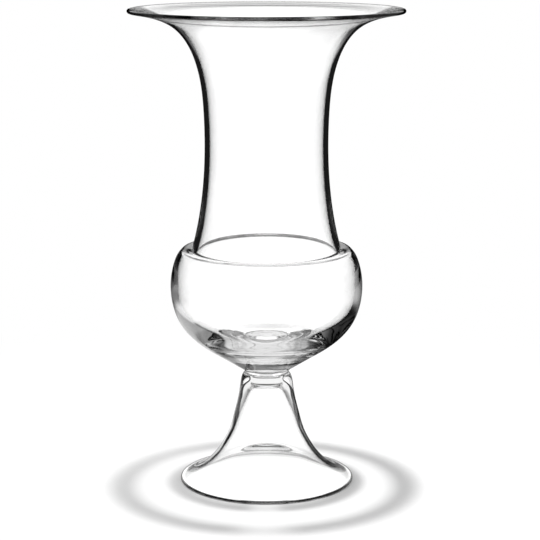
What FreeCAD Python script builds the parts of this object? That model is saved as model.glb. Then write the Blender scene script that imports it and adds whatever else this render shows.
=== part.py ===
import FreeCAD, Part
import os
import Sketcher

# Blown glass vase for forcing a hyacinth bulb over water. It is four pieces of
# hot-joined glass on one upright axis: a hollow bell foot, a small button, a
# squat bowl and a trumpet neck. Millimetres, +Z up, origin on the axis in the
# plane of the ground ring that the foot stands on.

# Driving sizes in millimetres
SIZES = {
    # foot
    "foot_height": 56.4,
    "foot_radius": 44.24,
    "foot_edge_thickness": 2.08,
    "foot_wall": 1.8,
    "ground_ring_width": 1.0,
    "crown_radius": 11.2,
    "crown_thickness": 5.6,
    "hollow_top_radius": 5.6,
    # button between foot and bowl
    "button_thickness": 1.9,
    "button_seat_radius": 10.4,
    # bowl
    "bowl_height": 61.6,
    "belly_radius": 48.45,
    "bowl_base_radius": 11.9,
    "bowl_wall": 3.0,
    "bowl_floor_thickness": 17.2,
    # crease where the neck stands on the bowl
    "crease_radius": 37.75,
    "crease_wall": 2.95,
    # neck
    "neck_height": 120.1,
    "waist_radius": 30.8,
    "neck_wall": 2.4,
    "lip_radius": 68.45,
    "lip_thickness": 1.95,
}

# Guide points of the outlines, each as shares of the sizes that it follows.
# The outline starts and ends on its first and last guide and leans towards the rest.

# neck below the waist: (share from waist to crease radius, share of neck height)
NECK_LOW_SHARES = [(1.0, 0.0), (0.69, 0.061), (0.245, 0.188), (-0.03, 0.378)]
# neck above the waist: (share from waist to lip radius, share of neck height below the lip)
NECK_HIGH_SHARES = [(0.003, 0.581), (0.057, 0.772), (0.343, 0.964), (0.80, 0.990), (1.0, 1.0)]
# way through the neck's wall at each guide: (outward, upward) shares of the wall there
NECK_WALL_SHARES = [(-1.0, 0.0), (-1.05, 0.0), (-1.08, 0.08), (-1.06, 0.11), (-1.0, 0.17),
                    (-0.90, 0.18), (-1.11, 0.26), (-0.36, 0.92), (0.0, 1.0)]
NECK_WALLS = ["crease_wall", "crease_wall", "neck_wall", "neck_wall", "neck_wall",
              "neck_wall", "lip_thickness", "lip_thickness", "lip_thickness"]

# bowl shoulder: (share from crease to belly radius, share of bowl height)
SHOULDER_SHARES = [(0.0, 1.0), (0.517, 1.038), (0.958, 0.866), (1.059, 0.650)]
# bowl underside: (share from base to belly radius, share of bowl height)
UNDERSIDE_SHARES = [(0.924, 0.414), (0.661, 0.242), (0.324, 0.124), (0.109, 0.041), (0.0, 0.0)]
# inside of the shoulder: (share from crease to belly on the inside, share of bowl height)
INNER_SHOULDER_SHARES = [(0.0, 1.0), (0.047, 0.982), (0.357, 0.987), (0.657, 0.9755),
                         (0.977, 0.865), (1.033, 0.669)]
# inside of the bottom, domed up in the middle:
# (share of the inside belly radius, share from floor to crease)
INNER_FLOOR_SHARES = [(0.957, 0.2815), (0.781, 0.097), (0.572, -0.079), (0.264, 0.0), (0.0, 0.0)]

# foot's crown: (share of crown radius, share from edge thickness to foot height)
CROWN_SHARES = [(1.0, 1.0), (1.175, 0.9935), (1.233, 0.799)]
# foot's bell and flange: (share from crown to edge radius, share as above)
BELL_SHARES = [(0.177, 0.604), (0.243, 0.428), (0.455, 0.216), (0.663, 0.090),
               (0.889, 0.007), (1.0, 0.0)]
# top of the hollow: (share of its top radius, share of its height)
HOLLOW_SHARES = [(1.0, 1.0), (1.429, 0.9764), (1.821, 0.8563)]
# under the bell: (share from crown to edge radius, share from edge thickness to foot height)
UNDER_BELL_SHARES = [(0.1625, 0.595), (0.226, 0.448), (0.3625, 0.293), (0.559, 0.122),
                     (0.827, 0.017)]
# way through the bell's wall there: (inward, downward) shares of the foot's wall
UNDER_BELL_WALL_SHARES = [(1.0, 0.5), (0.907, 0.508), (0.722, 0.553), (0.493, 0.615),
                          (0.258, 0.835)]

doc = FreeCAD.newDocument("forcing_vase")
sheet = doc.addObject("Spreadsheet::Sheet", "sizes")
for row, (name, value) in enumerate(SIZES.items(), start=1):
    sheet.set("A%d" % row, name)
    sheet.set("B%d" % row, str(value))
    sheet.setAlias("B%d" % row, name)
doc.recompute()


def mix(low, high, share):
    """Expression for a share of the way from one expression to another."""
    return "((%s) + %s * ((%s) - (%s)))" % (low, share, high, low)


def value_of(expression):
    """Number that an expression of the sheet's sizes stands for."""
    return float(sheet.evalExpression(expression.replace("sizes.", "")))


def new_sketch(label):
    """Empty body with a sketch of its wall, drawn in the plane of X and Z."""
    body = doc.addObject("PartDesign::Body", label)
    body.Label = label
    sketch = body.newObject("Sketcher::SketchObject", label + "_wall")
    plane = [f for f in body.Origin.OriginFeatures if f.Role == "XZ_Plane"][0]
    sketch.AttachmentSupport = (plane, [""])
    sketch.MapMode = "FlatFace"
    return body, sketch


def fix_point(sketch, geometry, point, radius, height):
    """Hold one point of the sketch at a radius and a height given as expressions."""
    for kind, expression in (("DistanceX", radius), ("DistanceY", height)):
        value = value_of(expression)
        index = sketch.addConstraint(Sketcher.Constraint(kind, -1, 1, geometry, point, value))
        sketch.setExpression("Constraints[%d]" % index, expression)


def draw_curve(sketch, guides):
    """Smooth outline led by guide points, each a pair of expressions."""
    places = [FreeCAD.Vector(value_of(r), value_of(z), 0) for r, z in guides]
    curve = Part.BSplineCurve()
    curve.buildFromPoles(places, False, 3)
    index = sketch.addGeometry(curve, False)
    first_guide = sketch.GeometryCount
    sketch.exposeInternalGeometry(index)
    for number, (radius, height) in enumerate(guides):
        fix_point(sketch, first_guide + number, 3, radius, height)
    return index


def draw_line(sketch, start, end):
    """Straight edge between two places given as pairs of expressions."""
    ends = [FreeCAD.Vector(value_of(r), value_of(z), 0) for r, z in (start, end)]
    return sketch.addGeometry(Part.LineSegment(ends[0], ends[1]), False)


def draw_half_round(sketch, lower, upper):
    """Half-round edge that bulges outwards from a lower to an upper place."""
    radius = value_of(lower[0])
    low = value_of(lower[1])
    high = value_of(upper[1])
    middle = FreeCAD.Vector(radius, (low + high) / 2, 0)
    size = (high - low) / 2
    start = FreeCAD.Vector(radius, low, 0)
    tip = FreeCAD.Vector(radius + size, middle.y, 0)
    end = FreeCAD.Vector(radius, high, 0)
    index = sketch.addGeometry(Part.Arc(start, tip, end), False)
    constraint = Sketcher.Constraint("DistanceX", -1, 1, index, 3, radius)
    number = sketch.addConstraint(constraint)
    sketch.setExpression("Constraints[%d]" % number, lower[0])
    return index


def join(sketch, ends):
    """Tie the ends of neighbouring edges: each entry is (edge, end, edge, end)."""
    for first, first_end, second, second_end in ends:
        sketch.addConstraint(Sketcher.Constraint("Coincident", first, first_end, second, second_end))


def turn(body, sketch):
    """Turn the wall's outline once about the upright axis."""
    revolution = body.newObject("PartDesign::Revolution", body.Label + "_turned")
    revolution.Profile = sketch
    revolution.ReferenceAxis = (sketch, ["V_Axis"])
    revolution.Angle = 360.0
    sketch.Visibility = False
    body.Tip = revolution


def raise_body(body, height):
    """Stand the body at a height given as an expression."""
    body.setExpression(".Placement.Base.z", height)


# Foot: thick crown, bell wall, flange with a rounded edge, narrow flat ground ring
def make_foot():
    body, sketch = new_sketch("foot")
    top = "sizes.foot_height"
    edge_thickness = "sizes.foot_edge_thickness"
    edge_radius = "(sizes.foot_radius - sizes.foot_edge_thickness / 2)"
    hollow_height = "(sizes.foot_height - sizes.crown_thickness)"
    crown = "sizes.crown_radius"

    outside = [("%s * %s" % (crown, a), mix(edge_thickness, top, b)) for a, b in CROWN_SHARES]
    outside += [(mix(crown, edge_radius, a), mix(edge_thickness, top, b)) for a, b in BELL_SHARES]
    ring_inner = (edge_radius + " - sizes.ground_ring_width", "0")
    inside = [("sizes.hollow_top_radius * %s" % a, "%s * %s" % (hollow_height, b))
              for a, b in HOLLOW_SHARES]
    for (a, b), (inward, downward) in zip(UNDER_BELL_SHARES, UNDER_BELL_WALL_SHARES):
        radius = mix(crown, edge_radius, a) + " - %s * sizes.foot_wall" % inward
        height = mix(edge_thickness, top, b) + " - %s * sizes.foot_wall" % downward
        inside.append((radius, height))
    inside.append(ring_inner)

    outer = draw_curve(sketch, outside)
    edge = draw_half_round(sketch, (edge_radius, "0"), (edge_radius, edge_thickness))
    ring = draw_line(sketch, (edge_radius, "0"), ring_inner)
    inner = draw_curve(sketch, inside)
    ceiling = draw_line(sketch, inside[0], ("0", hollow_height))
    axis = draw_line(sketch, ("0", hollow_height), ("0", top))
    crown_top = draw_line(sketch, ("0", top), outside[0])
    fix_point(sketch, ring, 1, edge_radius, "0")
    fix_point(sketch, axis, 1, "0", hollow_height)
    fix_point(sketch, axis, 2, "0", top)
    join(sketch, [(outer, 2, edge, 2), (edge, 1, ring, 1), (ring, 2, inner, 2),
                  (inner, 1, ceiling, 1), (ceiling, 2, axis, 1), (axis, 2, crown_top, 1),
                  (crown_top, 2, outer, 1)])
    turn(body, sketch)
    return body


# Button: flat-faced disc of glass with a half-round edge
def make_button():
    body, sketch = new_sketch("stem_button")
    seat = "sizes.button_seat_radius"
    top = "sizes.button_thickness"
    underside = draw_line(sketch, ("0", "0"), (seat, "0"))
    edge = draw_half_round(sketch, (seat, "0"), (seat, top))
    upper_side = draw_line(sketch, (seat, top), ("0", top))
    axis = draw_line(sketch, ("0", top), ("0", "0"))
    fix_point(sketch, underside, 2, seat, "0")
    fix_point(sketch, upper_side, 1, seat, top)
    fix_point(sketch, axis, 1, "0", top)
    fix_point(sketch, axis, 2, "0", "0")
    join(sketch, [(underside, 2, edge, 1), (edge, 2, upper_side, 1),
                  (upper_side, 2, axis, 1), (axis, 2, underside, 1)])
    turn(body, sketch)
    raise_body(body, "sizes.foot_height")
    return body


# Bowl: level shoulder, round belly, underside drawn in to a thick solid base
def make_bowl():
    body, sketch = new_sketch("bowl")
    top = "sizes.bowl_height"
    crease = "sizes.crease_radius"
    belly = "sizes.belly_radius"
    base = "sizes.bowl_base_radius"
    floor = "sizes.bowl_floor_thickness"
    inner_crease = "(sizes.crease_radius - sizes.crease_wall)"
    inner_belly = "(sizes.belly_radius - sizes.bowl_wall)"

    outside = [(mix(crease, belly, a), "%s * %s" % (top, b)) for a, b in SHOULDER_SHARES]
    outside += [(mix(base, belly, a), "%s * %s" % (top, b)) for a, b in UNDERSIDE_SHARES]
    inside = [(mix(inner_crease, inner_belly, a), "%s * %s" % (top, b))
              for a, b in INNER_SHOULDER_SHARES]
    inside += [("%s * %s" % (inner_belly, a), mix(floor, top, b)) for a, b in INNER_FLOOR_SHARES]

    outer = draw_curve(sketch, outside)
    bottom = draw_line(sketch, outside[-1], ("0", "0"))
    axis = draw_line(sketch, ("0", "0"), ("0", floor))
    inner = draw_curve(sketch, inside)
    seam = draw_line(sketch, inside[0], outside[0])
    fix_point(sketch, axis, 1, "0", "0")
    join(sketch, [(outer, 2, bottom, 1), (bottom, 2, axis, 1), (axis, 2, inner, 2),
                  (inner, 1, seam, 1), (seam, 2, outer, 1)])
    turn(body, sketch)
    raise_body(body, "sizes.foot_height + sizes.button_thickness")
    return body


# Neck: stands on the bowl's seam, narrows to a waist and flares to a half-round lip
def make_neck():
    body, sketch = new_sketch("trumpet_neck")
    waist = "sizes.waist_radius"
    crease = "sizes.crease_radius"
    top = "sizes.neck_height"
    lip_bottom = "(sizes.neck_height - sizes.lip_thickness)"
    lip_edge = "(sizes.lip_radius - sizes.lip_thickness / 2)"

    outside = [(mix(waist, crease, a), "%s * %s" % (top, b)) for a, b in NECK_LOW_SHARES]
    outside += [(mix(waist, lip_edge, a), "%s * %s" % (lip_bottom, b)) for a, b in NECK_HIGH_SHARES]
    inside = []
    for (radius, height), (out, up), wall in zip(outside, NECK_WALL_SHARES, NECK_WALLS):
        inside.append(("%s + %s * sizes.%s" % (radius, out, wall),
                       "%s + %s * sizes.%s" % (height, up, wall)))

    outer = draw_curve(sketch, outside)
    lip = draw_half_round(sketch, outside[-1], inside[-1])
    inner = draw_curve(sketch, inside)
    seam = draw_line(sketch, inside[0], outside[0])
    join(sketch, [(outer, 2, lip, 1), (lip, 2, inner, 2), (inner, 1, seam, 1), (seam, 2, outer, 1)])
    turn(body, sketch)
    raise_body(body, "sizes.foot_height + sizes.button_thickness + sizes.bowl_height")
    return body


pieces = [make_foot(), make_button(), make_bowl(), make_neck()]
doc.recompute()

for thing in doc.Objects:
    if "Invalid" in thing.State or "Error" in thing.State:
        raise RuntimeError("%s could not be made" % thing.Label)
for piece in pieces:
    if piece.Shape.isNull() or not piece.Shape.isValid():
        raise RuntimeError("%s has no sound shape" % piece.Label)

os.makedirs("parts", exist_ok=True)
for piece in pieces:
    piece.Shape.exportStep("parts/%s.step" % piece.Label)
    box = piece.Shape.BoundBox
    print("%-13s %6.2f to %6.2f high, %6.2f across, %8.0f mm3"
          % (piece.Label, box.ZMin, box.ZMax, box.XLength, piece.Shape.Volume))
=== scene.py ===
# %% [markdown]
# # A hyacinth forcing vase in clear blown glass
# A glassblower makes this vase hot, in four gathers of clear glass: a trumpet neck with a lip
# turned out nearly level, a squat bowl for the water, a small solid button and a hollow bell
# foot. A hyacinth bulb sits in the waist of the neck and its roots hang into the bowl. The lesson
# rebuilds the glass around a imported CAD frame, in the frame's own coordinates and in metres, then
# lights it as a white studio does.

import math

import bpy
import numpy as np
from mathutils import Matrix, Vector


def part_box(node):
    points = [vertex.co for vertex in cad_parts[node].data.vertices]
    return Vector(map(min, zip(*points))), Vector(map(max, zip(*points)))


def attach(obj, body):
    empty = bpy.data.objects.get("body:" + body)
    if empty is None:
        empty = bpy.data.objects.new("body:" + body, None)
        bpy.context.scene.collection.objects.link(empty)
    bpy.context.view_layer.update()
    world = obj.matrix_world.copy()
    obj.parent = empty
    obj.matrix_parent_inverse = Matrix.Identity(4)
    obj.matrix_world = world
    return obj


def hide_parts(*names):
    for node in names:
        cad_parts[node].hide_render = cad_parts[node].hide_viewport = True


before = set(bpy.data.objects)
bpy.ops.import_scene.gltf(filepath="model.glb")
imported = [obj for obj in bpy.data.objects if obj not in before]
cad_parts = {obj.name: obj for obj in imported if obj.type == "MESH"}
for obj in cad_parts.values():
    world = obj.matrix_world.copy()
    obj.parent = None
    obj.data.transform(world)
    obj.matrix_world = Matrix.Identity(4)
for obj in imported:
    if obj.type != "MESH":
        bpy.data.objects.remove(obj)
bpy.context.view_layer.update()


print("the frame has", sorted(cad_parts))

# %% [markdown]
# ## Driving sizes
# The profiles are drawn in millimetres of a vase 240 mm high, and MM turns such a millimetre into
# metres of the frame's vase. The joints between the gathers lie where the solids' boxes meet, so
# the glass can't drift away from the solids that it stands for. The sizes could be typed in by
# hand too, but then a change in the CAD would leave them behind.

# %% Read the driving sizes
DRAWN_HEIGHT = 240
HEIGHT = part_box("trumpet_neck")[1].z
MM = HEIGHT / DRAWN_HEIGHT
button_low, button_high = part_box("stem_button")
CREASE = round(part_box("trumpet_neck")[0].z / MM, 1)
BUTTON_TOP = round(button_high.z / MM, 1)
BUTTON_BASE = round(button_low.z / MM, 1)
SEAT_RADIUS = button_high.x / MM - (BUTTON_TOP - BUTTON_BASE) / 2
print("one drawn millimetre is", MM, "m")
print("joints at", CREASE, BUTTON_TOP, BUTTON_BASE, "mm, seat radius", round(SEAT_RADIUS, 2), "mm")

# %% [markdown]
# ## Profiles
# A vase that is turned on a pipe is round, so its shape is a profile. The profile of each wall is
# a smooth curve that a few guide points pull into place, the way a glassblower's jacks pull the
# hot wall. They are given as radius and height. A polygon with a subdivision modifier could do it
# too, but here the guide points are the CAD's own, so both tools turn the same curve.

# %% A smooth curve through guide points
CURVE_STEPS = 96


def smooth_curve(guides, steps=CURVE_STEPS):
    """Points on the clamped cubic B-spline that the guide points pull, as radius and height."""
    points = np.array(guides, float)
    count = len(points)
    knots = np.concatenate([np.zeros(3), np.linspace(0, 1, count - 2), np.ones(3)])
    places = np.linspace(0, 1, steps)
    weights = np.zeros((steps, count + 3))
    for i in range(count + 3):
        weights[:, i] = (places >= knots[i]) & (places < knots[i + 1])
    weights[-1, count - 1] = 1
    for degree in range(1, 4):
        for i in range(count + 3 - degree):
            rise = knots[i + degree] - knots[i]
            fall = knots[i + degree + 1] - knots[i + 1]
            coming = (places - knots[i]) / rise * weights[:, i] if rise else 0
            going = (knots[i + degree + 1] - places) / fall * weights[:, i + 1] if fall else 0
            weights[:, i] = coming + going
    return weights[:, :count] @ points


# %% Half-round edges, flat rings and chains of runs
def half_round(start, end, bulge, steps=13):
    """Points on half an ellipse from start to end that swells out by bulge."""
    start, end = np.array(start, float), np.array(end, float)
    middle, half = (start + end) / 2, (end - start) / 2
    out = np.array([-half[1], half[0]]) / np.hypot(*half) * bulge
    turns = np.linspace(0, math.pi, steps)
    return middle - np.outer(np.cos(turns), half) + np.outer(np.sin(turns), out)


def straight(start, end, steps=5):
    """Points on a straight line, closer together at its ends so that the corners stay crisp."""
    shares = (1 - np.cos(np.linspace(0, math.pi, steps))) / 2
    return np.outer(1 - shares, start) + np.outer(shares, end)


def chain(*runs):
    """One run of points from several that follow each other."""
    return np.vstack([runs[0]] + [run[1:] for run in runs[1:]])


# %% [markdown]
# ## Turning a profile
# The walls are turned about the vase's axis. A spin in edit mode would do the same by hand. A
# blown wall is never quite even, though, and bright-field light shows it: the glassblower's wall
# waves by a tenth of a millimetre or two. A slow wave is laid over both faces of the wall, never
# outwards past the CAD's box, and it fades out at the lip and at the ground ring, which stay
# true.

# %% The slow unevenness of a blown wall
WALL_WAVES = [(0.28, 2, 0.7, 61), (0.22, 3, -1.3, -37)]
INNER_WAVES = [(0.3, 2, 2.4, -47), (0.2, 5, 0.0, 29)]
WALL_DEPTH, INNER_DEPTH = 0.16, 0.14
FADE_AT_RING, FADE_AT_LIP = 14, 30


def waves(rows, turn, height):
    """The sum of waves of (share, times round, shift, height in mm of one radian)."""
    angles = [times * turn + shift + height / rise for _, times, shift, rise in rows]
    return sum(row[0] * np.sin(angle) for row, angle in zip(rows, angles))


def unevenness(turn, height, inner):
    """How far in, in mm, the wall lies at a turn angle and a height in mm."""
    fade = np.clip(height / FADE_AT_RING, 0, 1)
    fade *= np.clip((DRAWN_HEIGHT - height) / FADE_AT_LIP, 0, 1)
    fade = fade * fade * (3 - 2 * fade)
    own = INNER_DEPTH * waves(INNER_WAVES, turn, height) if inner else 0
    return fade * (WALL_DEPTH * (0.5 + waves(WALL_WAVES, turn, height)) + own)


# %% Turn runs of points into one mesh
ROUND_STEPS = 256
CALM_RADIUS = 9
ON_AXIS = 1e-6


def turned_glass(name, *runs):
    """A mesh turned from runs of (points, inner, flip), with points as radius and height in mm. The
    ends of a run stay open. The unevenness dies down towards the axis, inside the calm radius."""
    verts, faces = [], []
    turns = np.linspace(0, 2 * math.pi, ROUND_STEPS, endpoint=False)
    for points, inner, flip in runs:
        rings = []
        for radius, height in points:
            if radius < ON_AXIS:
                rings.append([len(verts)] * ROUND_STEPS)
                verts.append((0.0, 0.0, height * MM))
                continue
            out = radius - unevenness(turns, height, inner) * min(1, radius / CALM_RADIUS)
            up = np.full(ROUND_STEPS, height)
            rings.append(range(len(verts), len(verts) + ROUND_STEPS))
            verts.extend(zip(out * MM * np.cos(turns), out * MM * np.sin(turns), up * MM))
        for low, high in zip(rings, rings[1:]):
            for i in range(ROUND_STEPS):
                j = (i + 1) % ROUND_STEPS
                face = list(dict.fromkeys([low[i], low[j], high[j], high[i]]))
                faces.append(face[::-1] if flip else face)
    mesh = bpy.data.meshes.new(name)
    mesh.from_pydata(verts, [], faces)
    mesh.shade_smooth()
    piece = bpy.data.objects.new(name, mesh)
    bpy.context.scene.collection.objects.link(piece)
    print(name, "has", len(runs), "run(s),", len(verts), "vertices and", len(faces), "faces")
    return piece


# %% [markdown]
# ## The trumpet neck
# The neck is one blown wall. It leaves the crease above the bowl at 3 mm, thins to about 2.4 mm
# at the waist and turns out into a nearly level lip, whose edge is melted round in the flame. The
# outer face goes up, the lip's half-round turns over it and the inner face comes down. The lower
# end stays open: there the wall runs on into the bowl without a face between, because the two are
# fused.

# %% Turn the trumpet neck
LIP_CENTRE, LIP_SWELL = 67.475, 0.97
neck_outer = smooth_curve(
    [(37.75, CREASE), (35.6, 127.2), (32.5, 142.5), (30.6, 165.3), (30.9, 188.6)]
    + [(32.9, 211.1), (43.4, 233.8), (60.2, 236.85), (LIP_CENTRE, 238.05)]
)
neck_inner = smooth_curve(
    [(34.8, CREASE), (32.5, 127.2), (29.9, 142.7), (28.06, 165.56), (28.5, 189.0)]
    + [(30.74, 211.5), (41.2, 234.3), (59.5, 238.65), (LIP_CENTRE, DRAWN_HEIGHT)]
)
lip = half_round(neck_outer[-1], neck_inner[-1], -LIP_SWELL)
neck_wall = chain(neck_outer, lip, neck_inner[::-1])
trumpet = turned_glass("trumpet_neck_glass", (neck_wall, False, False))

# %% [markdown]
# ## The bowl
# The reservoir is squat, with a nearly level shoulder under a hard crease and a bottom that draws
# in like a funnel to the stem. The tool that nips in the crease leaves a low ridge round the
# shoulder. The floor is a thick gather of solid glass that rises a little in the middle, and the
# blowing leaves soft rings in it. Sculpting could add the ridge and the rings, but as small
# additions to the profile they stay round and have a depth in millimetres.

# %% Draw the bowl's two faces
bowl_outer = smooth_curve(
    [(37.75, CREASE), (43.28, 122.23), (48.0, 111.65), (49.08, 98.34), (45.67, 83.79)]
    + [(36.06, 73.18), (23.74, 65.93), (15.9, 60.85), (11.9, BUTTON_TOP)]
)
bowl_inner = smooth_curve(
    [(34.8, CREASE), (35.3, 118.8), (38.6, 119.1), (41.8, 118.4), (45.2, 111.6), (45.8, 99.5)]
    + [(43.5, 88.0), (35.5, 79.8), (26.0, 72.0), (12, 75.5), (0, 75.5)],
    steps=2 * CURVE_STEPS,
)
print("bowl is widest at", round(bowl_outer[:, 0].max(), 2), "mm from the axis")

# %% Add the ridge and the rings, and turn the bowl
RIDGE_HEIGHT, RIDGE_RADIUS, RIDGE_WIDTH, SHOULDER_FROM = 0.4, 42.2, 0.9, 112
RING_DEPTH, RING_STEP = 0.1, 3.2
RINGS_REACH, RINGS_FADE, FLOOR_BELOW = 24, 8, 80
off_ridge = (bowl_outer[:, 0] - RIDGE_RADIUS) / RIDGE_WIDTH
on_shoulder = bowl_outer[:, 1] > SHOULDER_FROM
bowl_outer[:, 1] += RIDGE_HEIGHT * np.exp(-(off_ridge**2)) * on_shoulder
near_floor = np.clip((RINGS_REACH - bowl_inner[:, 0]) / RINGS_FADE, 0, 1)
near_floor *= bowl_inner[:, 1] < FLOOR_BELOW
bowl_inner[:, 1] += RING_DEPTH * near_floor * np.cos(bowl_inner[:, 0] * 2 * math.pi / RING_STEP)
bowl_seat = straight(bowl_outer[-1], (SEAT_RADIUS, BUTTON_TOP))
bowl_outside = chain(bowl_outer, bowl_seat)
bowl = turned_glass("bowl_glass", (bowl_outside, False, True), (bowl_inner, True, False))

# %% [markdown]
# ## The stem button
# Between bowl and foot sits a small lens of solid glass, pressed nearly flat. Only its rounded
# rim shows as a face of its own. Its flats are fused to its neighbours, so they are left out.

# %% Turn the stem button
BUTTON_SWELL = 0.95
button_rim = half_round((SEAT_RADIUS, BUTTON_BASE), (SEAT_RADIUS, BUTTON_TOP), -BUTTON_SWELL)
button = turned_glass("stem_button_glass", (button_rim, False, False))

# %% [markdown]
# ## The bell foot
# The foot is a small bell: a thick solid crown, a wall that thins downwards and a flange that
# ends in a melted edge and a narrow ground ring. Its hollow is a cone that runs up to a small
# ceiling under the crown. One run of points, from the seat round the outside to the ceiling,
# draws it all.

# %% Draw the foot's outside
CROWN_RADIUS = 11.2
RING_OUTER, RING_INNER = 43.2, 42.2
EDGE_HEIGHT, EDGE_SWELL = 2.08, 1.035
foot_crown = straight((SEAT_RADIUS, BUTTON_BASE), (CROWN_RADIUS, BUTTON_BASE))
foot_outer = smooth_curve(
    [(CROWN_RADIUS, BUTTON_BASE), (13.16, 56.05), (13.81, 45.46), (16.86, 34.89), (18.97, 25.32)]
    + [(25.76, 13.8), (32.41, 6.98), (39.64, 2.46), (RING_OUTER, EDGE_HEIGHT)]
)
foot_edge = half_round((RING_OUTER, EDGE_HEIGHT), (RING_OUTER, 0), EDGE_SWELL)
foot_ring = straight((RING_OUTER, 0), (RING_INNER, 0))
print("edge", EDGE_HEIGHT, "mm thick, ground ring", round(RING_OUTER - RING_INNER, 2), "mm wide")

# %% Draw its hollow and turn the foot
CEILING_RADIUS, CEILING_HEIGHT = 5.6, 50.8
foot_inner = smooth_curve(
    [(CEILING_RADIUS, CEILING_HEIGHT), (8.0, 49.6), (10.2, 43.5), (14.6, 33.5), (16.8, 25.5)]
    + [(21.5, 17.0), (28.2, 7.6), (37.2, 1.5), (RING_INNER, 0)]
)
foot_ceiling = straight((CEILING_RADIUS, CEILING_HEIGHT), (0, CEILING_HEIGHT))
foot_outside = chain(foot_crown, foot_outer, foot_edge, foot_ring)
foot_wall = chain(foot_outside, foot_inner[::-1], foot_ceiling)
foot = turned_glass("bell_foot_glass", (foot_wall, False, True))

# %% [markdown]
# ### A thin place
# A bell this wide is spun open in one go, and its wall rarely comes out even. Small arcs show low
# in the back of the bell, and a thin place in the wall makes such arcs. So the inner face is
# pushed outwards there by a soft amount. Sculpting by hand would do too, but a formula says how
# deep and how wide the place is.

# %% Thin the back of the bell
THIN_DEPTH, THIN_TURN, THIN_HEIGHT, THIN_SPREAD = 1.2, 30, 12, 3.5
HOLLOW_FROM = 5
places = np.empty(len(foot.data.vertices) * 3)
foot.data.vertices.foreach_get("co", places)
places = places.reshape(-1, 3)
out_mm, up_mm = np.hypot(places[:, 0], places[:, 1]) / MM, places[:, 2] / MM
behind = np.degrees(np.arctan2(places[:, 1], places[:, 0])) - 90
off_middle = (behind / THIN_TURN) ** 2 + ((up_mm - THIN_HEIGHT) / THIN_SPREAD) ** 2
thinned = THIN_DEPTH * np.exp(-off_middle)
on_inside = np.arange(len(places)) >= len(foot_outside) * ROUND_STEPS
thinned *= on_inside & (out_mm > HOLLOW_FROM)
places[:, :2] *= (1 + thinned / np.maximum(out_mm, 1))[:, None]
foot.data.vertices.foreach_set("co", places.ravel())
foot.data.update()
print("deepest thin place in mm:", round(float(thinned.max()), 2))

# %% [markdown]
# ## Helpers for materials
# Maths, smooth steps, blends and levels that change round the vase are the few moves that all
# materials here are made of. A node tree is easy to wire by hand, but short functions keep a long
# one readable.

# %% Feed a socket, do sums and blend
def feed(tree, socket, value):
    """Links another node's socket to this one, or sets a plain value on it."""
    if isinstance(value, bpy.types.NodeSocket):
        tree.links.new(value, socket)
    else:
        socket.default_value = value


def math_step(tree, operation, first, second=0.0):
    """A Math node's result from sockets or plain numbers."""
    node = tree.nodes.new("ShaderNodeMath")
    node.operation = operation
    feed(tree, node.inputs[0], first)
    feed(tree, node.inputs[1], second)
    return node.outputs[0]


def ramp_between(tree, value, low, high, at_high=1.0):
    """A smooth step of a socket's value: 0 below low and at_high above high."""
    node = tree.nodes.new("ShaderNodeMapRange")
    node.interpolation_type = "SMOOTHSTEP"
    for name, number in (("From Min", low), ("From Max", high), ("To Max", at_high)):
        node.inputs[name].default_value = number
    tree.links.new(value, node.inputs["Value"])
    return node.outputs["Result"]


def blend_values(tree, share, first, second, kind="FLOAT", mode="MIX"):
    """first where share is 0 and second where it is 1, for plain numbers or for RGBA colours."""
    node = tree.nodes.new("ShaderNodeMix")
    node.data_type = kind
    node.blend_type = mode
    for name, value in (("Factor", share), ("A", first), ("B", second)):
        feed(tree, node.inputs[name], value)
    return node.outputs["Result"]


# %% Measure from the axis and round about
def from_axis(tree, place):
    """How far from the vase's axis a place is."""
    level = tree.nodes.new("ShaderNodeVectorMath")
    level.operation = "MULTIPLY"
    level.inputs[1].default_value = (1, 1, 0)
    tree.links.new(place, level.inputs[0])
    length = tree.nodes.new("ShaderNodeVectorMath")
    length.operation = "LENGTH"
    tree.links.new(level.outputs["Vector"], length.inputs[0])
    return length.outputs["Value"]


def turn_and_height(tree, place):
    """The angle of a place or direction round the axis, in radians, and its height."""
    sides = tree.nodes.new("ShaderNodeSeparateXYZ")
    tree.links.new(place, sides.inputs["Vector"])
    return math_step(tree, "ARCTAN2", sides.outputs["Y"], sides.outputs["X"]), sides.outputs["Z"]


# %% Levels round about, and in bands
def round_about(tree, turn, stops):
    """A level that changes round the vase, from (degrees, level) stops between -180 and 180: 0 is
    right, 90 is behind and 180 is left."""
    node = tree.nodes.new("ShaderNodeValToRGB")
    ramp = node.color_ramp
    for element, (_, level) in zip(ramp.elements, (stops[0], stops[-1])):
        element.color = (level, level, level, 1)
    for degrees, level in stops[1:-1]:
        ramp.elements.new(degrees / 360 + 0.5).color = (level, level, level, 1)
    share = math_step(tree, "ADD", math_step(tree, "DIVIDE", turn, 2 * math.pi), 0.5)
    tree.links.new(share, node.inputs["Fac"])
    return node.outputs["Color"]


def in_bands(tree, place, turn, bands):
    """Bands of (from, full, stops) that follow each other along place, each with its own levels
    round about. A band starts at from and has taken over at full."""
    level = round_about(tree, turn, bands[0][2])
    for start, full, stops in bands[1:]:
        share = ramp_between(tree, place, start, full)
        level = blend_values(tree, share, level, round_about(tree, turn, stops))
    return level


# %% [markdown]
# ## What fine grain the glass has, and a painted edge shade
# Clear glass isn't a blank. Cords of slightly denser glass wave through a blown wall, and hands
# leave a breath of haze. A melted edge keeps light inside like a light pipe, so the lip, the
# button and the foot show dark outlines. Here those outlines are painted shade: the Base Color is
# darkened near each edge, with gaps round about where less shade is painted. Each gather could
# have nodes of its own for this. One node group makes all three effects instead, so that the four
# gathers share them and each sets its own strength.

# %% Noise for the group
def noise(tree, place, scale, detail):
    """A Noise Texture's value at a place."""
    node = tree.nodes.new("ShaderNodeTexNoise")
    node.inputs["Detail"].default_value = detail
    tree.links.new(place, node.inputs["Vector"])
    feed(tree, node.inputs["Scale"], scale)
    return node.outputs["Fac"]
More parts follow.
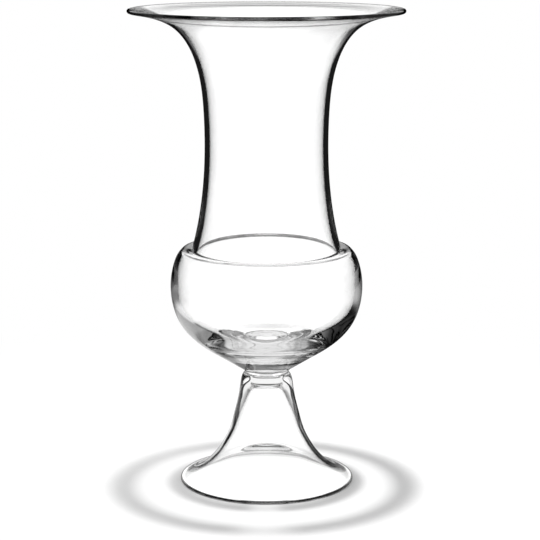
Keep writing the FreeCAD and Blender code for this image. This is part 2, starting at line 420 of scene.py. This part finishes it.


# %% The glass's cords, haze and painted edge shade as a node group
CORD_STRETCH = (1, 1, 0.35)
SMUDGE_SCALE, SMUDGE_DETAIL = 35, 4
SMUDGE_FROM, SMUDGE_FULL = 0.6, 0.85
DENSE_GLASS, PURE_GLASS = (0.985, 0.985, 0.985, 1), (1, 1, 1, 1)
# How far the painted edge shade takes to fade in, and how strongly it is painted round about.
PAINTED_EDGE_FADE = 0.4
UNEVEN_PAINTED_EDGE_SHADE = [(-180, 1), (-148, 1), (-138, 0.35), (-112, 0.3), (-106, 1)]
UNEVEN_PAINTED_EDGE_SHADE += [(-77, 1), (-71, 0.35), (-52, 0.3), (-46, 1), (180, 1)]
GROUP_INPUTS = (("Cord Scale", 60.0), ("Haze", 0.03), ("Painted Shade Radius", 0.09), ("Edge Tint", 1.0))
GROUP_OUTPUTS = (("Cord Height", "Float"), ("Haze Roughness", "Float"), ("Tint", "Color"))


def blown_finish_and_edge_shade():
    """A node group with the cords' height, the haze's roughness and the glass's faint tint,
    darkened by painted shade near the edge.
    """
    group = bpy.data.node_groups.new("blown_glass_finish_and_painted_edge_shade", "ShaderNodeTree")
    add = group.interface.new_socket
    for name, value in GROUP_INPUTS:
        add(name, in_out="INPUT", socket_type="NodeSocketFloat").default_value = value
    for name, kind in GROUP_OUTPUTS:
        add(name, in_out="OUTPUT", socket_type="NodeSocket" + kind)
    given, made = group.nodes.new("NodeGroupInput"), group.nodes.new("NodeGroupOutput")
    place = group.nodes.new("ShaderNodeTexCoord").outputs["Object"]
    stretch = group.nodes.new("ShaderNodeMapping")
    stretch.inputs["Scale"].default_value = CORD_STRETCH
    group.links.new(place, stretch.inputs["Vector"])
    cords = noise(group, stretch.outputs["Vector"], given.outputs["Cord Scale"], 1)
    haze = group.nodes.new("ShaderNodeMapRange")
    haze.inputs["From Min"].default_value = SMUDGE_FROM
    haze.inputs["From Max"].default_value = SMUDGE_FULL
    group.links.new(noise(group, place, SMUDGE_SCALE, SMUDGE_DETAIL), haze.inputs["Value"])
    group.links.new(given.outputs["Haze"], haze.inputs["To Max"])
    tint = blend_values(group, cords, DENSE_GLASS, PURE_GLASS, "RGBA")
    turn, _ = turn_and_height(group, place)
    # Painted shade: beyond the edge radius the glass's tint darkens into a dark outline, unevenly
    # round about.
    past = math_step(group, "SUBTRACT", from_axis(group, place), given.outputs["Painted Shade Radius"])
    depth = math_step(group, "SUBTRACT", 1.0, given.outputs["Edge Tint"])
    dark = math_step(group, "MULTIPLY", ramp_between(group, past, 0.0, PAINTED_EDGE_FADE * MM), depth)
    dark = math_step(group, "MULTIPLY", dark, round_about(group, turn, UNEVEN_PAINTED_EDGE_SHADE))
    left = math_step(group, "SUBTRACT", 1.0, dark)
    tinted_and_edge_shaded = blend_values(group, 1.0, tint, left, "RGBA", "MULTIPLY")
    group.links.new(cords, made.inputs["Cord Height"])
    group.links.new(haze.outputs["Result"], made.inputs["Haze Roughness"])
    group.links.new(tinted_and_edge_shaded, made.inputs["Tint"])
    return group


finish_and_edge_shade = blown_finish_and_edge_shade()
print("finish group:", [s.name for s in finish_and_edge_shade.interface.items_tree])

# %% [markdown]
# ## The clear glass
# The glass is a Principled surface with full transmission and the index of soda-lime glass. Light
# from a lamp bends through a real vase and leaves a soft ring of shadow under the lip, the belly
# and the foot's edge, where the glass is thick or stands on edge to the light. Tracing that light
# is slow and grainy. So for shadow rays the glass becomes a plain transparent sheet that is clear
# inside a radius and darker towards the edge of its gather, unevenly round about.

# %% Mix shaders
def mix_shaders(tree, share, first, second):
    """A shader that is first where share is 0 and second where it is 1."""
    node = tree.nodes.new("ShaderNodeMixShader")
    tree.links.new(share, node.inputs["Fac"])
    tree.links.new(first, node.inputs[1])
    tree.links.new(second, node.inputs[2])
    return node.outputs["Shader"]


# %% Mix the clear glass
GLASS_INDEX = 1.5
CORD_DEPTH = 0.001
UNEVEN_SHADE = [(-180, 0.67), (-135, 0.76), (-120, 0.82), (-104, 0.92), (-95, 0.3), (-85, 0.3)]
UNEVEN_SHADE += [(-76, 0.9), (-45, 0.9), (0, 1.0), (60, 0.8), (90, 0.7), (135, 0.47), (180, 0.67)]


def clear_glass(name, grain, shade, edge):
    """A clear glass material. grain holds its cords' scale and strength and its haze. shade holds
    the radii in mm between which a shadow deepens, and how deep it gets. edge holds the radius in
    mm where the painted edge shade starts, and the brightness that the Base Color keeps there."""
    cord_scale, cord_strength, haze = grain
    shade_from, shade_to, deepest = shade
    painted_shade_radius, painted_edge_brightness = edge
    material = bpy.data.materials.new(name)
    material.use_nodes = True
    tree = material.node_tree
    body = tree.nodes["Principled BSDF"]
    body.inputs["Transmission Weight"].default_value = 1
    body.inputs["IOR"].default_value = GLASS_INDEX
    body.inputs["Metallic"].default_value = 0
    finish_and_shade_node = tree.nodes.new("ShaderNodeGroup")
    finish_and_shade_node.node_tree = finish_and_edge_shade
    own_values = (cord_scale, haze, painted_shade_radius * MM, painted_edge_brightness)
    for (socket, _), value in zip(GROUP_INPUTS, own_values):
        finish_and_shade_node.inputs[socket].default_value = value
    cords = tree.nodes.new("ShaderNodeBump")
    cords.inputs["Strength"].default_value = cord_strength
    cords.inputs["Distance"].default_value = CORD_DEPTH
    tree.links.new(finish_and_shade_node.outputs["Cord Height"], cords.inputs["Height"])
    tree.links.new(cords.outputs["Normal"], body.inputs["Normal"])
    tree.links.new(finish_and_shade_node.outputs["Haze Roughness"], body.inputs["Roughness"])
    tree.links.new(finish_and_shade_node.outputs["Tint"], body.inputs["Base Color"])
    place = tree.nodes.new("ShaderNodeTexCoord").outputs["Object"]
    turn, _ = turn_and_height(tree, place)
    radius = from_axis(tree, place)
    stopped = ramp_between(tree, radius, shade_from * MM, shade_to * MM, deepest)
    stopped = math_step(tree, "MULTIPLY", stopped, round_about(tree, turn, UNEVEN_SHADE))
    sheet = tree.nodes.new("ShaderNodeBsdfTransparent")
    tree.links.new(math_step(tree, "SUBTRACT", 1.0, stopped), sheet.inputs["Color"])
    for_shadow = tree.nodes.new("ShaderNodeLightPath").outputs["Is Shadow Ray"]
    either = mix_shaders(tree, for_shadow, body.outputs["BSDF"], sheet.outputs["BSDF"])
    tree.links.new(either, tree.nodes["Material Output"].inputs["Surface"])
    return material


# %% Give each gather its glass
# Each row: the piece, its CAD node, its material slot, its grain, its shadow shade, and its painted
# edge shade as a radius in mm and the brightness that the Base Color keeps there.
GATHERS = [
    (trumpet, "trumpet_neck", "clear_glass_neck", (30, 0.02, 0.01), (56.5, 65, 0.74), (67.5, 0.08)),
    (bowl, "bowl", "clear_glass_bowl", (32, 0.03, 0.01), (36, 43, 0.3), (90, 1.0)),
    (button, "stem_button", "clear_glass_button", (60, 0.03, 0.01), (42, 48, 0.0), (10, 0.4)),
    (foot, "foot", "clear_glass_foot", (40, 0.03, 0.015), (41, 44, 0.2), (RING_OUTER, 0.05)),
]
for piece, node, slot, grain, shade, edge in GATHERS:
    piece.data.materials.append(clear_glass(slot, grain, shade, edge))
    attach(piece, "root")
    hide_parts(node)
    print(piece.name, "stands for", node, "in", slot)

# %% [markdown]
# ## A white studio
# The vase stands on a lit white table in front of a white backdrop, and the rest of the room is
# dim. That is bright-field light: glass shows as black lines, where its walls turn the view past
# the backdrop. Lamps and cards could stand round the vase to make it. Here the world and the
# table hold it, as bands of light and dark that only mirrored rays meet, which is quick and free
# of grain. White is a strength of 1 to the camera. Each face of the glass mirrors away a few
# hundredths of what is behind it, and a studio exposes for that: what the glass lets through is a
# little brighter.

# %% The bands that mirrored rays meet
SKY_BANDS = [
    (0, 0, [(-180, 0), (-100, 0), (-50, 0.2), (0, 0.4), (40, 0.3), (60, 0), (180, 0)]),
    (0.16, 0.21, [(-180, 0.05), (-110, 0), (-40, 0.3), (0, 0.35), (30, 0.2), (55, 0.5)]
     + [(65, 1), (112, 1), (125, 0.6), (145, 0.25), (175, 0.05), (180, 0.05)]),
    (0.41, 0.50, [(-180, 0), (-50, 0), (-30, 0.1), (0, 0.3), (45, 0.3), (65, 1), (112, 1)]
     + [(125, 0.3), (160, 0.2), (180, 0)]),
    (0.62, 0.72, [(-180, 0), (-120, 0), (-30, 0), (0, 0.05), (60, 0.9), (120, 0.9), (150, 0.1)]
     + [(180, 0)]),
    (0.81, 0.91, [(-180, 0.9), (180, 0.9)]),
]
TABLE_BANDS = [
    (0, 0, [(-180, 1), (180, 1)]),
    (0.026, 0.034, [(-180, 0.6), (-130, 0.95), (-50, 0.95), (-20, 0.45), (50, 0.45), (90, 0.95)]
     + [(180, 0.6)]),
    (0.055, 0.065, [(-180, 0), (-170, 0), (-145, 0.6), (-105, 0.6), (-75, 0), (80, 0), (100, 0.4)]
     + [(118, 0.4), (128, 0), (180, 0)]),
    (0.11, 0.13, [(-180, 0.9), (-160, 0.9), (-105, 0.6), (-75, 0), (70, 0), (90, 0.3), (110, 0.9)]
     + [(180, 0.9)]),
    (0.24, 0.34, [(-180, 0.15), (-90, 0.2), (-60, 0.5), (0, 0.55), (50, 0.5), (70, 0.2)]
     + [(180, 0.15)]),
    (0.60, 0.75, [(-180, 0.01), (180, 0.01)]),
]
print(len(SKY_BANDS), "bands up the sky and", len(TABLE_BANDS), "bands outwards on the table")

# %% The surround
THROUGH_GLASS = 1.35
AMBIENT = 0.4


def has_bounced(tree, depth):
    """1 where a Light Path depth counts at least one bounce."""
    return math_step(tree, "GREATER_THAN", depth, 0.5)


world = bpy.data.worlds.new("white_tent")
bpy.context.scene.world = world
world.use_nodes = True
tent = world.node_tree
tent_path = tent.nodes.new("ShaderNodeLightPath")
direction = tent.nodes.new("ShaderNodeTexCoord").outputs["Generated"]
tent_turn, tent_up = turn_and_height(tent, direction)
room = in_bands(tent, tent_up, tent_turn, SKY_BANDS)
straight_on = blend_values(tent, tent_path.outputs["Is Transmission Ray"], 1.0, THROUGH_GLASS)
mirrored = has_bounced(tent, tent_path.outputs["Glossy Depth"])
scattered = has_bounced(tent, tent_path.outputs["Diffuse Depth"])
seen_level = blend_values(tent, mirrored, straight_on, room)
tent_level = blend_values(tent, scattered, seen_level, AMBIENT)
tent_light = tent.nodes["Background"]
tent_light.inputs["Color"].default_value = (1, 1, 1, 1)
tent.links.new(tent_level, tent_light.inputs["Strength"])
print("white through glass is", THROUGH_GLASS, "and the light on the table from all round", AMBIENT)

# %% [markdown]
# ## The table
# The table is matt and white near the vase, so that it takes the soft shadow. Further off it
# glows with a plain white, as an overexposed sweep of paper does. A large lit sheet would do the
# same, but its light would fall on the vase too.

# %% Paint the table
TABLE_RADIUS = 30
TABLE_WHITE = (0.8, 0.8, 0.8, 1)
GLOW_FROM, GLOW_FULL = 0.15, 0.35


def glow(tree, strength):
    """White light of a strength from a surface."""
    node = tree.nodes.new("ShaderNodeEmission")
    tree.links.new(strength, node.inputs["Strength"])
    return node.outputs["Emission"]


table_paint = bpy.data.materials.new("white_table")
table_paint.use_nodes = True
top = table_paint.node_tree
matt = top.nodes["Principled BSDF"]
matt.inputs["Base Color"].default_value = TABLE_WHITE
matt.inputs["Roughness"].default_value = 1
matt.inputs["Specular IOR Level"].default_value = 0
top_path = top.nodes.new("ShaderNodeLightPath")
top_place = top.nodes.new("ShaderNodeTexCoord").outputs["Object"]
away = from_axis(top, top_place)
top_turn, _ = turn_and_height(top, top_place)
extra = math_step(top, "MULTIPLY", top_path.outputs["Is Transmission Ray"], THROUGH_GLASS - 1)
near = top.nodes.new("ShaderNodeAddShader")
top.links.new(matt.outputs["BSDF"], near.inputs[0])
top.links.new(glow(top, extra), near.inputs[1])
far = glow(top, math_step(top, "ADD", extra, 1.0))
seen = mix_shaders(top, ramp_between(top, away, GLOW_FROM, GLOW_FULL), near.outputs["Shader"], far)
in_mirror = glow(top, in_bands(top, away, top_turn, TABLE_BANDS))
top_mirrored = has_bounced(top, top_path.outputs["Glossy Depth"])
top_look = mix_shaders(top, top_mirrored, seen, in_mirror)
top.links.new(top_look, top.nodes["Material Output"].inputs["Surface"])

# %% Set up the table
bpy.ops.mesh.primitive_circle_add(vertices=128, radius=TABLE_RADIUS, fill_type="NGON")
table = bpy.context.object
table.name = "white_table"
table.data.materials.append(table_paint)
print("table is matt out to", GLOW_FROM, "m and glows white from", GLOW_FULL, "m")

# %% [markdown]
# ## The lamp
# One small round lamp hangs high over the vase, a little behind it, and draws the rim's soft ring
# on the table. Its size sets how soft the ring is: a point lamp would draw a hard one. It only
# gives light, and no ray that a glass face mirrors or lets through sees it.

# %% Hang the lamp
LAMP_SIZE, LAMP_WATTS = 0.13, 49
LAMP_PLACE = (0.01, 0.085, 2.3)
lamp_data = bpy.data.lights.new("overhead_lamp", "AREA")
lamp_data.shape = "DISK"
lamp_data.size = LAMP_SIZE
lamp_data.energy = LAMP_WATTS
lamp = bpy.data.objects.new("overhead_lamp", lamp_data)
lamp.location = LAMP_PLACE
lamp.rotation_euler = (-math.atan2(LAMP_PLACE[1], LAMP_PLACE[2]), 0, 0)
lamp.visible_glossy = False
lamp.visible_transmission = False
lamp.visible_camera = False
bpy.context.scene.collection.objects.link(lamp)
print("lamp of", LAMP_WATTS, "W hangs at", LAMP_PLACE)

# %% [markdown]
# ## The camera
# The vase is seen from 3.8 of its heights away, a little above the rim, with a long lens. Those
# numbers come from matching the ellipses of the rim, the crease and the foot. A lens guessed by
# eye would bend those ellipses wrongly.

# %% Set the camera
SENSOR = 36
FOCAL_SHARE = 1834.7 / 540
LOOKS_DOWN = 11.34
CAMERA_IN_HEIGHTS = (0.0072, -3.778, 1.2131)
camera_data = bpy.data.cameras.new("camera")
camera_data.sensor_width = SENSOR
camera_data.lens = SENSOR * FOCAL_SHARE
camera = bpy.data.objects.new("camera", camera_data)
camera.location = tuple(share * HEIGHT for share in CAMERA_IN_HEIGHTS)
camera.rotation_euler = (math.radians(90 - LOOKS_DOWN), 0, 0)
bpy.context.scene.collection.objects.link(camera)
bpy.context.scene.camera = camera
print("lens in mm:", round(camera_data.lens, 2), "at", [round(v, 3) for v in camera.location])

# %% [markdown]
# ## Colour and light paths
# The Standard view transform shows colours as they are written. Thick glass passes light back and
# forth many times before it lets it out. With the usual number of bounces those paths end in a
# false black, so the glass gets more.

# %% Set the view transform and the bounces
BOUNCES = 24
bpy.context.scene.view_settings.view_transform = "Standard"
light_paths = bpy.context.scene.cycles
light_paths.max_bounces = BOUNCES
light_paths.glossy_bounces = BOUNCES
light_paths.transmission_bounces = BOUNCES
print("bounces of light:", BOUNCES)
